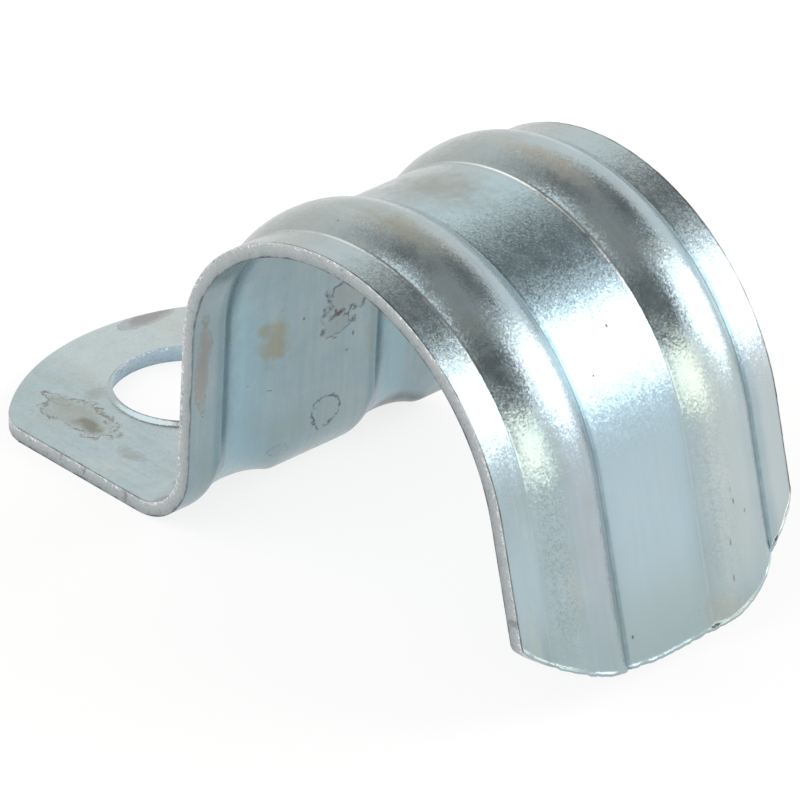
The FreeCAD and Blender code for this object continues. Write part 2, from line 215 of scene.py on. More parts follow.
def rowAcross(s):
    # y of each column at this place along the strip
    half = strip["width"] / 2
    runOut = min(1.0, max(0.0, (foldEnd - s) / (foldEnd - footEnd)))    # 1 where the ribs have run out
    middle = ribs["pitch"] / 2
    near = (ribs["width"] + ribs["spread"] * runOut) / 2
    far = near + ribs["farReach"]
    crease = min(blankGrid["creaseBand"], half - blankGrid["edgeGap"] - middle - far)
    count = blankGrid["columns"]
    # where each stretch of columns starts, and how many it has
    marks = [(-half, count["edge"]), (-half + blankGrid["edgeBand"], count["edge"])]
    for rib, end, beyond in ((-middle, far, count["band"]), (middle, far - ribs["farTrim"], count["far"])):
        marks += [(rib - near - crease, count["crease"]), (rib - near, count["crease"]),
                  (rib - near + crease, count["crest"]), (rib + end - crease, count["crease"]),
                  (rib + end, count["crease"]), (rib + end + crease, beyond)]
    marks += [(half - blankGrid["edgeBand"], count["edge"]), (half, 0)]
    columns = []
    for (low, steps), (high, _) in zip(marks, marks[1:]):
        columns += [low + (high - low) * i / steps for i in range(steps)]
    columns.append(half)
    even = min(1.0, max(0.0, (footEnd - s) / blankGrid["evenOut"]))
    last = len(columns) - 1
    return [y * (1 - even) + (-half + 2 * half * i / last) * even for i, y in enumerate(columns)]


def cornerDrop(y, corner):
    # how much a rounded corner takes off at y
    toEdge = max(0.0, strip["width"] / 2 - abs(y))
    return corner - math.sqrt(corner ** 2 - (corner - toEdge) ** 2) if toEdge < corner else 0.0


def waves(y, rows):
    return sum(share * noise.noise(Vector((y * often, which, 0))) for often, which, share in rows)


def toeDrop(y):
    # how much shorter the leg is at y than on its longest line
    drop = strip["toeRadius"] - math.sqrt(strip["toeRadius"] ** 2 - (y + strip["toeOffset"]) ** 2)
    hangAt, hangHalf, hang = strip["toeHang"]
    drop -= hang * math.exp(-((y - hangAt) / hangHalf) ** 2)
    drop += cornerDrop(y, strip["toeCorners"][y > 0])
    nickAt, nick = strip["toeNick"]
    if y > nickAt:
        drop += nick
    return drop + strip["toeRagged"] * waves(y, strip["toeWaves"])


def edgeRelief(place):
    # the shear left the long edges a little uneven and threw up a burr along the toe
    y = place.y
    relief = 0.0
    ragged, often, reach = strip["ragged"]
    if strip["width"] / 2 - abs(y) < reach:
        relief = ragged * noise.noise(place * often)
    (topX, topZ), (toeX, toeZ) = profile[-2:]
    leg = legEnd - saddleEnd
    down = ((place.x - topX) * (toeX - topX) + (place.z - topZ) * (toeZ - topZ)) / leg
    toToe = leg - toeDrop(y) - down
    width, height = strip["burr"]
    if toToe < width * 2 and place.x > topX:
        average, least = strip["burrShares"]
        share = average + waves(y, strip["burrWaves"])
        for lumpAt, lumpHalf, lump in strip["burrLumps"]:
            share += lump * math.exp(-((y - lumpAt) / lumpHalf) ** 2)
        crest, slope = strip["burrSection"]
        relief += height * max(least, share) * math.exp(-((toToe - width * crest) / (width * slope)) ** 2)
    return relief


def makeBlank():
    # flat blank in (distance along the strip, y), with the arcs of tip and toe and a ring of faces round the hole
    tipCentre = strip["tipRadius"]
    rows = []
    footRows = int(footEnd / blankGrid["rowStep"])
    for i in range(footRows):
        part = i / footRows
        across = rowAcross(footEnd * part)
        row = []
        for y in across:
            tip = tipCentre - math.sqrt(strip["tipRadius"] ** 2 - y * y) + cornerDrop(y, strip["tipCorner"])
            row.append((tip + (footEnd - tip) * part, y))
        rows.append(row)
    bentRows = int((saddleEnd - footEnd) / blankGrid["rowStep"])
    for i in range(bentRows):
        s = footEnd + (saddleEnd - footEnd) * i / bentRows
        rows.append([(s, y) for y in rowAcross(s)])
    leg = legEnd - saddleEnd
    legRows = int(leg / blankGrid["rowStep"])
    fromToe = [leg * (1 - i / legRows) for i in range(legRows - 1)] + blankGrid["toeRows"]
    for left in fromToe:
        part = 1 - left / leg
        row = []
        for y in rowAcross(saddleEnd):
            row.append((saddleEnd + (leg - toeDrop(y)) * part, y))
        rows.append(row)
    hole = strip["tipReach"]
    patch = strip["holeRadius"] + blankGrid["holePatch"]
    middleColumn = len(rows[0]) // 2
    firstRow = min(i for i in range(footRows) if rows[i][middleColumn][0] > hole - patch)
    lastRow = max(i for i in range(footRows) if rows[i][middleColumn][0] < hole + patch)
    firstColumn = min(j for j in range(len(rows[0])) if rows[lastRow // 2][j][1] > -patch)
    lastColumn = len(rows[0]) - 1 - firstColumn
    bm = bmesh.new()
    grid = []
    for i, row in enumerate(rows):
        line = []
        for j, (s, y) in enumerate(row):
            inside = firstRow < i < lastRow and firstColumn < j < lastColumn
            line.append(None if inside else bm.verts.new((s, y, 0)))
        grid.append(line)
    for i in range(len(rows) - 1):
        for j in range(len(rows[0]) - 1):
            if firstRow <= i < lastRow and firstColumn <= j < lastColumn:
                continue
            bm.faces.new((grid[i][j], grid[i + 1][j], grid[i + 1][j + 1], grid[i][j + 1]))
    border = [grid[firstRow][j] for j in range(firstColumn, lastColumn)]
    border += [grid[i][lastColumn] for i in range(firstRow, lastRow)]
    border += [grid[lastRow][j] for j in range(lastColumn, firstColumn, -1)]
    border += [grid[i][firstColumn] for i in range(lastRow, firstRow, -1)]
    previous = border
    for share in blankGrid["rings"]:
        ring = []
        for v in border:
            out = Vector((v.co.x - hole, v.co.y, 0))
            rim = out.normalized() * strip["holeRadius"]
            ring.append(bm.verts.new(Vector((hole, 0, 0)) + out.lerp(rim, share)))
        for k in range(len(border)):
            n = (k + 1) % len(border)
            bm.faces.new((previous[k], previous[n], ring[n], ring[k]))
        previous = ring
    bmesh.ops.recalc_face_normals(bm, faces=bm.faces)
    if sum(f.normal.z for f in bm.faces) < 0:
        bmesh.ops.reverse_faces(bm, faces=bm.faces)
    flat = bm.loops.layers.uv.new("UVMap")
    for face in bm.faces:
        for loop in face.loops:
            loop[flat].uv = (loop.vert.co.x * uvScale, loop.vert.co.y * uvScale + 0.5)
    mesh = bpy.data.meshes.new("blank")
    bm.to_mesh(mesh)
    bm.free()
    return mesh


def makeProfileCurve():
    curve = bpy.data.curves.new("profile", "CURVE")
    curve.dimensions = "3D"
    spline = curve.splines.new("POLY")
    spline.points.add(len(profile) - 1)
    for point, (x, z) in zip(spline.points, profile):
        point.co = (x, 0, z, 1)
    line = bpy.data.objects.new("profile", curve)
    addToScene(line)
    return line


# the press tree's inputs are these sizes; a rib's section is a crest arc that runs into a crease arc on each side
pressSizes = {"foldStart": footEnd, "foldEnd": foldEnd, **ribs}
signs = {"+": "ADD", "-": "SUBTRACT", "*": "MULTIPLY", "/": "DIVIDE", "^": "POWER", ">": "GREATER_THAN",
         "<": "LESS_THAN"}
ribSums = """
    faded = runOut ^ fade
    left = 1 - faded
    kept = left MAXIMUM 0.0001
    rise = height * kept
    extra = spread * runOut
    foot = width + extra
    halfFoot = foot * 0.5
    isRight = y > 0
    twiceRight = isRight * 2
    side = twiceRight - 1
    halfPitch = pitch * 0.5
    ribMiddle = side * halfPitch
    crestAt = ribMiddle + crestShift
    offMiddle = y - crestAt
    isFar = offMiddle > 0
    twiceShift = crestShift * 2
    trimmed = isRight * farTrim
    reachHere = farReach - trimmed
    narrower = reachHere - twiceShift
    farChange = isFar * narrower
    nearHalf = halfFoot + crestShift
    half = nearHalf + farChange
    farLess = farCrease - nearCrease
    farShare = isFar * farLess
    crease = nearCrease + farShare
    away = offMiddle ABSOLUTE 0
    halfSquare = half * half
    riseSquare = rise * rise
    squares = halfSquare + riseSquare
    twice = rise * 2
    radii = squares / twice
    crest = radii - crease
    crestHalf = crest * half
    joint = crestHalf / radii
    awaySquare = away * away
    crestSquare = crest * crest
    crestLeft = crestSquare - awaySquare
    crestSafe = crestLeft MAXIMUM 0
    crestRoot = crestSafe SQRT 0
    crestBoth = crest + crestRoot
    crestFall = awaySquare / crestBoth
    onCrest = rise - crestFall
    toFoot = half - away
    inside = toFoot MAXIMUM 0
    insideSquare = inside * inside
    creaseSquare = crease * crease
    creaseLeft = creaseSquare - insideSquare
    creaseSafe = creaseLeft MAXIMUM 0
    creaseRoot = creaseSafe SQRT 0
    creaseBoth = crease + creaseRoot
    inCrease = insideSquare / creaseBoth
    isCrest = away < joint
"""


def pressTree():
    # lays the flat blank along the profile and raises the two ribs
    tree = bpy.data.node_groups.new("pressStrip", "GeometryNodeTree")
    sockets = [("Geometry", "NodeSocketGeometry"), ("Profile", "NodeSocketObject"), ("Finish", "NodeSocketMaterial")]
    sockets += [(name, "NodeSocketFloat") for name in pressSizes]
    for name, kind in sockets:
        tree.interface.new_socket(name, in_out="INPUT", socket_type=kind)
    tree.interface.new_socket("Geometry", in_out="OUTPUT", socket_type="NodeSocketGeometry")
    given = addNode(tree, "NodeGroupInput")
    flat = addNode(tree, "GeometryNodeInputPosition")[0]
    place = addNode(tree, "SeparateXYZ", {0: flat})
    line = addNode(tree, "GeometryNodeObjectInfo", {"Object": given["Profile"]})["Geometry"]
    sample = addNode(tree, "GeometryNodeSampleCurve", {"Curves": line, "Length": place["X"]},
                     {"mode": "LENGTH", "use_all_curves": True})
    outward = addNode(tree, "VectorMath", {0: sample["Tangent"], 1: (0.0, 1.0, 0.0)}, "CROSS_PRODUCT")[0]
    value = {name: given[name] for name in pressSizes}
    value["y"] = place["Y"]
    value["runOut"] = addNode(tree, "MapRange", {"Value": place["X"], "From Min": given["foldEnd"],
                                                 "From Max": given["foldStart"]})[0]
    for name, _, first, sign, second in [line.split() for line in ribSums.strip().splitlines()]:
        first, second = [value[word] if word in value else float(word) for word in (first, second)]
        value[name] = addNode(tree, "Math", {0: first, 1: second}, signs.get(sign, sign))[0]
    lift = addNode(tree, "Mix", {"Factor": value["isCrest"], "A": value["inCrease"], "B": value["onCrest"]})[0]
    lifted = addNode(tree, "VectorMath", {0: outward, "Scale": lift}, "SCALE")[0]
    across = addNode(tree, "CombineXYZ", {"Y": place["Y"]})[0]
    sideways = addNode(tree, "VectorMath", {0: sample["Position"], 1: across}, "ADD")[0]
    pressed = addNode(tree, "VectorMath", {0: sideways, 1: lifted}, "ADD")[0]
    bent = addNode(tree, "GeometryNodeSetPosition", {"Geometry": given["Geometry"], "Position": pressed})[0]
    real = addNode(tree, "GeometryNodeRealizeInstances", {"Geometry": bent})[0]
    done = addNode(tree, "GeometryNodeSetMaterial", {"Geometry": real, "Material": given["Finish"]})[0]
    addNode(tree, "NodeGroupOutput", {"Geometry": done})
    return tree


def formLip(mesh):
    # the punch drew the hole's rim up a little and rolled its lower edge under
    top = strip["gauge"]
    foot = strip["holeRadius"] + lip["width"]
    for vertex in mesh.vertices:
        place = vertex.co
        out = math.hypot(place.x, place.y)
        if place.z > top * 1.5 or out > foot + lip["under"]:
            continue
        if place.z > top / 2 and out < foot:
            climb = (foot - out) / lip["width"]
            place.z += lip["height"] * climb * climb * (3 - 2 * climb) * (place.z / top * 2 - 1)
        elif place.z < top / 2 and out < strip["holeRadius"] + lip["under"]:
            push = lip["under"] * (1 - place.z / top * 2) * (1 - (out - strip["holeRadius"]) / lip["under"])
            place.x += place.x / out * push
            place.y += place.y / out * push


def formEdges(mesh):
    # raises or lowers the outer face near the sheared edges
    normals = [Vector(vertex.normal) for vertex in mesh.vertices]
    under = mesh.attributes["under"].data
    for vertex in mesh.vertices:
        if under[vertex.index].value < 0.4:
            vertex.co += normals[vertex.index] * edgeRelief(vertex.co)


def makeStrap(outerFinish, innerFinish, edge):
    blank = bpy.data.objects.new("blank", makeBlank())
    addToScene(blank)
    blank.vertex_groups.new(name="innerShell")
    for finish in (outerFinish, innerFinish, edge):
        blank.data.materials.append(finish)
    line = makeProfileCurve()
    press = blank.modifiers.new("press", "NODES")
    press.node_group = pressTree()
    given = {"Profile": line, "Finish": outerFinish, **pressSizes}
    for item in press.node_group.interface.items_tree:
        if item.in_out == "INPUT" and item.name in given:
            press[item.identifier] = given[item.name]
    solid = blank.modifiers.new("gauge", "SOLIDIFY")
    solid.thickness = strip["gauge"]
    solid.offset = -1
    solid.use_even_offset = True
    solid.use_quality_normals = True
    solid.material_offset = 1
    solid.material_offset_rim = 2
    solid.shell_vertex_group = "innerShell"
    soft = blank.modifiers.new("edges", "BEVEL")
    soft.width = strip["edgeRound"]
    soft.segments = 3
    soft.limit_method = "ANGLE"
    soft.angle_limit = math.radians(50)
    depsgraph = bpy.context.evaluated_depsgraph_get()
    mesh = bpy.data.meshes.new_from_object(blank.evaluated_get(depsgraph), depsgraph=depsgraph)
    mesh.name = "strapSheet"
    under = mesh.attributes.new("under", "FLOAT", "POINT")      # 0 on the outer face, 1 on the inner
    for vertex in mesh.vertices:
        under.data[vertex.index].value = min(1.0, max((g.weight for g in vertex.groups), default=0.0))
    formEdges(mesh)
    formLip(mesh)
    bpy.data.objects.remove(blank)
    bpy.data.objects.remove(line)
    piece = bpy.data.objects.new("strapSheet", mesh)
    addToScene(piece)
    return piece


# Materials. Bright zinc plate with a thin blue passivation over pressed and sheared steel strip. Sizes in mm.

zincLook = {
    # tints by how cloudy it is, from 0 to 1
    "clouds": [(0.30, "#acb0bc"), (0.40, "#a6b7b9"), (0.50, "#a8bbc3"), (0.60, "#aebfc4"), (0.72, "#b9c3c5")],
    "cloudSize": 3.2,
    "streak": (6.0, 0.4),       # along and across the strip
    "streakShare": 0.38,
    "roughness": (0.17, 0.27),
    "film": (0.45, 0.3),        # stains and pits: how metallic they are, and how much rougher
    "wobble": 1.2,              # unevenness of lines and of the sheen, waves to the mm
    "grain": 0.13,              # fine tooth of the plating, drawn coarser than life so it shows
    "grainDepth": 0.006,
    "crystal": 0.1,             # crystals of the plating, drawn coarser too
    "crystalTilt": 0.042,
    "peel": 0.3,                # soft dimples of the pickled strip
    "peelDepth": 0.004,
    "wave": 2.4,                # slight waves that the press leaves
    "waveDepth": 0.01,
    "scratch": (5.0, 0.11),     # draw marks along and across the strip
    "scratchDepth": 0.0007,
    "band": ("#a8c3cf", 2.4, 3.3),      # tint between the ribs, and from where to where it fades
    "toe": ("#98abae", 2.0, 0.45),      # painted shade towards the toe: tint, how far down the leg it starts, share
    "crease": ("#748f96", 0.03, 0.25),  # painted shade in the creases: tint, half width, and with its soft edge
    "creaseShadeShares": (0.15, 1.0),        # in a rib's near crease and in its far one
    "bare": ("#55504f", 0.04, 0.13),    # painted dark reflection along the sheared edges, as for the creases
    "bead": ("#fbfcfc", 0.02, 0.13, 0.007),     # raised line the die left, with a near-white tint that is a painted highlight: tint, how far from the crease, half width, height
    "beadHighlightShares": (0.5, 1.0),           # on the near rib and on the far one
    "beadStart": (2.0, 8.0),            # past the shoulder, it comes up from one to the other
    "beadEnd": (-11.0, -5.0, 0.1),      # before the leg, and what is left of it from there on
    "pit": ("#55575a", 0.7, 0.085, 1.15),       # tint, share, size and spacing
}

# stains lie on one face: place and size in mm, how ragged, tint and share of the middle and of the rim, and where
# they aren't the usual ones, the rim's width and where the middle starts to fade, as shares of the size
stainLook = {
    "usual": (0.09, 0.45),
    "rimAt": 0.92,
    "end": 1.1,
    "shake": (1.15, 1.6),       # how ragged: waves to the mm, and how far at most
    "gaps": (2.3, 0.36, 0.58, 0.1),     # in the rims: waves to the mm, from where to where they close, what is left
}
outerStains = [
    ((-1.4, -6.2, 0.8), (2.9, 1.3, 1.0), 0.5, "#a0a39b", 0.45, "#7b776c", 0.8),
    ((-0.4, -6.5, 0.8), (1.1, 0.6, 1.0), 0.6, "#7d7c71", 0.75, "#84857c", 0.3),
    ((-3.6, -5.9, 0.8), (0.9, 0.6, 1.0), 0.6, "#a09f93", 0.4, "#7d796e", 0.7),
    ((-2.7, -4.2, 0.8), (0.6, 0.7, 1.0), 0.7, "#8f938c", 0.3, "#83867e", 0.3),
    ((-7.1, 3.2, 0.8), (0.7, 1.9, 1.0), 0.35, "#989297", 0.7, "#857f86", 0.5),
    ((-3.2, 4.6, 0.8), (0.8, 0.9, 1.0), 0.7, "#9c9e93", 0.4, "#9c9e93", 0.1),
    ((0.5, 5.6, 0.8), (3.2, 1.5, 1.0), 0.4, "#bcb9a8", 0.4, "#bcb9a8", 0.1),
    ((3.4, -6.9, 0.8), (1.0, 0.5, 1.0), 0.7, "#97998f", 0.35, "#8d8f8b", 0.2),
    ((22.6, 4.9, 21.9), (5.0, 1.0, 3.0), 0.5, "#a89880", 0.45, "#a89a88", 0.0, 0.09, 0.0),
    ((22.8, -5.4, 21.6), (4.6, 1.4, 2.5), 0.4, "#9b9078", 0.5, "#a89a88", 0.0, 0.09, 0.0),
    ((19.6, -0.2, 20.7), (4.2, 3.0, 3.0), 0.35, "#918e80", 0.6, "#a89a88", 0.0, 0.09, 0.0),
    ((36.2, -6.0, 6.9), (1.4, 0.5, 2.4), 0.4, "#a8a590", 0.3, "#a78f72", 0.0, 0.09, 0.0),
    ((36.7, 4.0, 2.2), (1.5, 2.6, 1.2), 0.25, "#9f9c8f", 0.42, "#8f8578", 0.0, 0.09, 0.0),
    ((36.3, -8.6, 4.0), (1.5, 0.6, 3.0), 0.4, "#a9b3ab", 0.35, "#a9b3ab", 0.05),
    ((31.2, 0.7, 17.3), (0.13, 0.08, 0.13), 0.2, "#4d4648", 0.8, "#4d4648", 0.4),
    ((32.5, -1.4, 15.8), (0.07, 0.07, 0.07), 0.2, "#5d5658", 0.8, "#5d5658", 0.4),
    ((36.5, -2.3, 2.8), (0.12, 0.1, 0.14), 0.2, "#55555a", 0.9, "#55555a", 0.4),
    ((36.1, 5.0, 7.6), (0.1, 0.07, 0.2), 0.3, "#6b6b70", 0.7, "#55555a", 0.2),
    ((36.3, 5.6, 6.9), (0.1, 0.06, 0.16), 0.3, "#6b6b70", 0.7, "#55555a", 0.2),
    ((36.5, 4.5, 5.6), (0.1, 0.07, 0.3), 0.3, "#6b6b6f", 0.7, "#55555a", 0.2),
    ((36.0, 4.9, 8.4), (0.1, 0.06, 0.35), 0.3, "#6b6b6f", 0.6, "#55555a", 0.1),
    ((36.4, 5.2, 4.9), (0.1, 0.05, 0.3), 0.3, "#7b756c", 0.6, "#55555a", 0.1),
    ((35.6, 6.3, 10.4), (0.1, 0.05, 0.2), 0.3, "#7b756c", 0.6, "#55555a", 0.1),
    ((36.9, 4.4, 3.7), (0.1, 0.06, 0.24), 0.3, "#6b6b6f", 0.7, "#55555a", 0.2),
]
innerStains = [
    ((11.3, -3.6, 9.6), (1.0, 0.95, 1.7), 0.65, "#a39c80", 0.6, "#a39a7c", 0.1),
    ((11.4, 1.3, 10.6), (1.0, 1.6, 1.1), 0.7, "#968f80", 0.3, "#59554b", 0.8, 0.18, 0.45),
    ((11.4, 0.6, 9.2), (1.0, 1.3, 0.7), 0.8, "#848074", 0.25, "#524e45", 0.75, 0.2, 0.45),
    ((11.5, -8.75, 10.4), (1.0, 0.5, 3.2), 0.5, "#9a938a", 0.6, "#716b62", 0.45),
    ((11.0, 0.0, 4.1), (1.0, 1.05, 1.0), 0.5, "#8f9790", 0.1, "#54585a", 0.9, 0.13, 0.45),
    ((10.8, -2.9, 2.6), (1.0, 0.6, 0.5), 0.5, "#8f9790", 0.1, "#6f7271", 0.5),
    ((11.4, 1.7, 8.2), (1.0, 0.1, 0.16), 0.4, "#6f6b60", 0.8, "#5b574e", 0.4),
    ((11.4, 1.3, 7.3), (1.0, 0.14, 0.08), 0.4, "#6f6b60", 0.7, "#5b574e", 0.4),
    ((11.4, 0.4, 8.4), (1.0, 0.16, 0.07), 0.4, "#6f6b60", 0.7, "#5b574e", 0.4),
    ((11.3, -4.9, 7.2), (1.0, 0.1, 0.1), 0.4, "#7f7868", 0.8, "#5b574e", 0.3),
    ((11.2, -3.7, 6.6), (1.0, 0.16, 0.05), 0.4, "#6f6b60", 0.6, "#5b574e", 0.3),
    ((11.4, 3.0, 7.5), (1.0, 0.4, 1.9), 0.6, "#96998c", 0.35, "#96998c", 0.05),
]


def newFinish(name):
    # a material with the object's place and its place on the flat blank, both in mm
    material = bpy.data.materials.new(name)
    material.use_nodes = True
    tree = material.node_tree
    source = addNode(tree, "TexCoord")
    place = addNode(tree, "Mapping", {"Vector": source["Object"], "Scale": [1 / mm] * 3})[0]
    flat = addNode(tree, "Mapping", {"Vector": source["UV"], "Location": (0, -0.5 / uvScale, 0),
                                     "Scale": (1 / uvScale, 1 / uvScale, 1)})[0]
    return material, tree, tree.nodes["Principled BSDF"].inputs, place, flat


def lineAt(tree, value, middle, start, end, share):
    # the whole share within start of the middle, nothing beyond end
    off = addNode(tree, "Math", {0: value, 1: middle}, "SUBTRACT")[0]
    off = addNode(tree, "Math", {0: off}, "ABSOLUTE")[0]
    return addNode(tree, "MapRange", {"Value": off, "From Min": start, "From Max": end, "To Min": share,
                                      "To Max": 0.0}, smooth)[0]


def paint(tree, color, coats):
    # a coat is its tint, the shares that together say how much of it shows, and whether it dulls the metal
    film = 0.0
    for tint, shares, dulls in coats:
        share = shares[0]
        for other in shares[1:]:
            share = addNode(tree, "Math", {0: share, 1: other}, "MULTIPLY")[0]
        color = addNode(tree, "Mix", {"Factor": share, 6: color, 7: toLinear(tint)}, ofColor)[2]
        if dulls:
            film = addNode(tree, "Math", {0: film, 1: share}, "MAXIMUM")[0]
    return color, film


def emboss(tree, rows):
    # relief, from the broadest to the finest: each row is a place, how often to its unit, detail and depth in mm
    normal = None
    for place, often, detail, depth in rows:
        relief = addNode(tree, "TexNoise", {"Vector": place, "Scale": often, "Detail": detail})[0]
        given = {"Height": relief, "Distance": depth * mm}
        if normal:
            given["Normal"] = normal
        normal = addNode(tree, "Bump", given)[0]
    return normal


def tiltGrains(tree, normal, cells, lean):
    # each crystal or torn grain leans its own way
    tilt = addNode(tree, "VectorMath", {0: cells, 1: [2 * lean] * 3, 2: [-lean] * 3}, "MULTIPLY_ADD")[0]
    tilted = addNode(tree, "VectorMath", {0: normal, 1: tilt}, "ADD")[0]
    return addNode(tree, "VectorMath", {0: tilted}, "NORMALIZE")[0]


def stainCoats(tree, place, stains):
    # the ragged edges of all stains come from one noise, and so do the gaps in their rims
    often, shake = stainLook["shake"]
    shove = addNode(tree, "TexNoise", {"Vector": place, "Scale": often, "Detail": 6.0, "Roughness": 0.62})[1]
    often, low, high, left = stainLook["gaps"]
    gaps = addNode(tree, "TexNoise", {"Vector": place, "Scale": often, "Detail": 3.0, "Roughness": 0.7})[0]
    gaps = addNode(tree, "MapRange", {"Value": gaps, "From Min": low, "From Max": high, "To Min": left}, smooth)[0]
    coats = []
    for middle, size, ragged, fill, fillShare, rim, rimShare, *unusual in stains:
        rimWidth, core = unusual or stainLook["usual"]
        fromMiddle = addNode(tree, "Mapping", {"Vector": place, "Location": middle, "Scale": size},
                             {"vector_type": "TEXTURE"})[0]
        far = shake * ragged
        shaken = addNode(tree, "VectorMath", {0: shove, 1: [2 * far] * 3, 2: [-far] * 3}, "MULTIPLY_ADD")[0]
        shaken = addNode(tree, "VectorMath", {0: fromMiddle, 1: shaken}, "ADD")[0]
        reach = addNode(tree, "VectorMath", {0: shaken}, "LENGTH")["Value"]
        inside = addNode(tree, "MapRange", {"Value": reach, "From Min": core, "From Max": stainLook["end"],
                                            "To Min": fillShare, "To Max": 0.0}, smooth)[0]
        rimLine = lineAt(tree, reach, stainLook["rimAt"], 0.0, rimWidth, rimShare)
        coats += [(fill, [inside], True), (rim, [rimLine, gaps], True)]
    return coats


def zoneCoats(tree, across, grains, zones):
    # zones of a different tint, some of them only grain by grain; several on the faces are painted highlights and
    # painted shade
    coats = []
    for (low, high), (start, end), (softAcross, softAlong), tint, share, *grainy in zones:
        shares = [share]
        for axis, enter, leave, soft in (("Y", low, high, softAcross), ("X", start, end, softAlong)):
            for at, before in ((enter, 0.0), (leave, 1.0)):
                given = {"Value": across[axis], "From Min": at - soft, "From Max": at + soft,
                         "To Min": before, "To Max": 1.0 - before}
                shares.append(addNode(tree, "MapRange", given, smooth)[0])
        if grainy:
            shares.append(grains)
        coats.append((tint, shares, False))
    return coats


def zincFinish(name, stains, face):
    # a soft pale metal with faint clouds of tint, whose crystals break every highlight up into sparkle
    look = zincLook
    material, tree, shader, place, flat = newFinish(name)
    across = addNode(tree, "SeparateXYZ", {0: flat})
    wobble = addNode(tree, "TexNoise", {"Vector": place, "Scale": look["wobble"], "Detail": 3.0})[0]
    drawn = {}      # places drawn out along the strip
    for pattern in ("streak", "scratch"):
        long, wide = look[pattern]
        drawn[pattern] = addNode(tree, "Mapping", {"Vector": flat, "Scale": (1 / long, 1 / wide, 1)})[0]

    # clouds of tint, partly drawn out along the strip
    clouds = addNode(tree, "TexNoise", {"Vector": place, "Scale": 1 / look["cloudSize"], "Detail": 4.0,
                                        "Roughness": 0.6})[0]
    streaks = addNode(tree, "TexNoise", {"Vector": drawn["streak"], "Scale": 1.0, "Detail": 3.0,
                                         "Roughness": 0.6})[0]
    tone = addNode(tree, "Mix", {"Factor": look["streakShare"], "A": clouds, "B": streaks})[0]
    ramp = addNode(tree, "ValToRGB", {"Fac": tone})
    fillRamp(ramp, [(at, [c * keep for c, keep in zip(toLinear(tint), face["tint"])])
                    for at, tint in look["clouds"]])

    # the middle band is bluer than the ribs, and the leg is darker towards its toe, painted shade from the shadowed
    # table it reflects there
    fromBand = addNode(tree, "Math", {0: across["Y"]}, "ABSOLUTE")[0]
    bandTint, bandEdge, bandGone = look["band"]
    onBand = addNode(tree, "MapRange", {"Value": fromBand, "From Min": bandEdge, "From Max": bandGone,
                                        "To Min": face["band"], "To Max": 0.0}, smooth)[0]
    toeTint, toeStart, toeShare = look["toe"]
    nearToe = addNode(tree, "MapRange", {"Value": across["X"], "From Min": saddleEnd + toeStart, "From Max": legEnd,
                                         "To Max": toeShare}, smooth)[0]
    coats = [(bandTint, [onBand], False), (toeTint, [nearToe], False)]

    crystals = addNode(tree, "TexVoronoi", {"Vector": place, "Scale": 1 / look["crystal"]})["Color"]
    grains = addNode(tree, "SeparateXYZ", {0: crystals})[0]
    grains = addNode(tree, "MapRange", {"Value": grains, "From Min": 0.35})[0]
    coats += zoneCoats(tree, across, grains, face["zones"])

    # painted shade: a darker line in the rib creases, strongest down the leg
    downLeg = addNode(tree, "MapRange", {"Value": across["X"], "From Min": foldEnd, "From Max": saddleEnd,
                                         "To Max": face["crease"]}, smooth)[0]
    creaseTint, creaseHalf, creaseSoft = look["crease"]
    nearCreases = [side * ribs["pitch"] / 2 - ribs["width"] / 2 for side in (-1, 1)]
    for near, trim in zip(nearCreases, (0.0, ribs["farTrim"])):
        far = near + ribs["width"] + ribs["farReach"] - trim
        for at, share in zip((near, far), look["creaseShadeShares"]):
            line = lineAt(tree, across["Y"], at, creaseHalf, creaseSoft, share)
            coats.append((creaseTint, [line, wobble, downLeg], False))

    # the die's edge left a raised line beside each near crease, broken in places; its near-white tint is a painted
    # highlight
    broken = addNode(tree, "MapRange", {"Value": wobble, "From Min": 0.35, "From Max": 0.5, "To Min": 0.25},
                     smooth)[0]
    start, full = look["beadStart"]
    onSaddle = addNode(tree, "MapRange", {"Value": across["X"], "From Min": shoulderEnd + start,
                                          "From Max": shoulderEnd + full}, smooth)[0]
    end, gone, left = look["beadEnd"]
    offSaddle = addNode(tree, "MapRange", {"Value": across["X"], "From Min": saddleEnd + end,
                                           "From Max": saddleEnd + gone, "To Min": 1.0, "To Max": left}, smooth)[0]
    beadTint, beadOff, beadHalf, beadHeight = look["bead"]
    beads = []
    for near, share in zip(nearCreases, look["beadHighlightShares"]):
        bead = lineAt(tree, across["Y"], near - beadOff, 0.0, beadHalf, 1.0)
        for part in (broken, onSaddle, offSaddle):
            bead = addNode(tree, "Math", {0: bead, 1: part}, "MULTIPLY")[0]
        beads.append(bead)
        coats.append((beadTint, [bead, share * face["bead"]], False))

    # painted dark reflection: a dark line right along the sheared edges
    bareTint, bareHalf, bareSoft = look["bare"]
    bare = lineAt(tree, fromBand, strip["width"] / 2, bareHalf, bareSoft, face["bare"])
    coats.append((bareTint, [bare, wobble], False))
    coats += stainCoats(tree, place, stains)

    # fine dark pits in loose groups
    pitTint, pitShare, pitSize, pitSpacing = look["pit"]
    cells = addNode(tree, "TexVoronoi", {"Vector": place, "Scale": 1 / pitSpacing})
    groups = addNode(tree, "TexNoise", {"Vector": place, "Scale": 0.33})[0]
    chance = addNode(tree, "SeparateXYZ", {0: cells["Color"]})[0]
    chance = addNode(tree, "Math", {0: chance, 1: groups}, "MULTIPLY")[0]
    size = addNode(tree, "MapRange", {"Value": chance, "From Min": 0.36, "From Max": 0.7,
                                      "To Max": pitSize / pitSpacing})[0]
    depth = addNode(tree, "Math", {0: size, 1: cells["Distance"]}, "SUBTRACT")[0]
    pit = addNode(tree, "MapRange", {"Value": depth, "From Min": -0.02, "From Max": 0.02, "To Max": pitShare},
                  smooth)[0]
    coats.append((pitTint, [pit], True))
    color, film = paint(tree, ramp[0], coats)
    tree.links.new(color, shader["Base Color"])

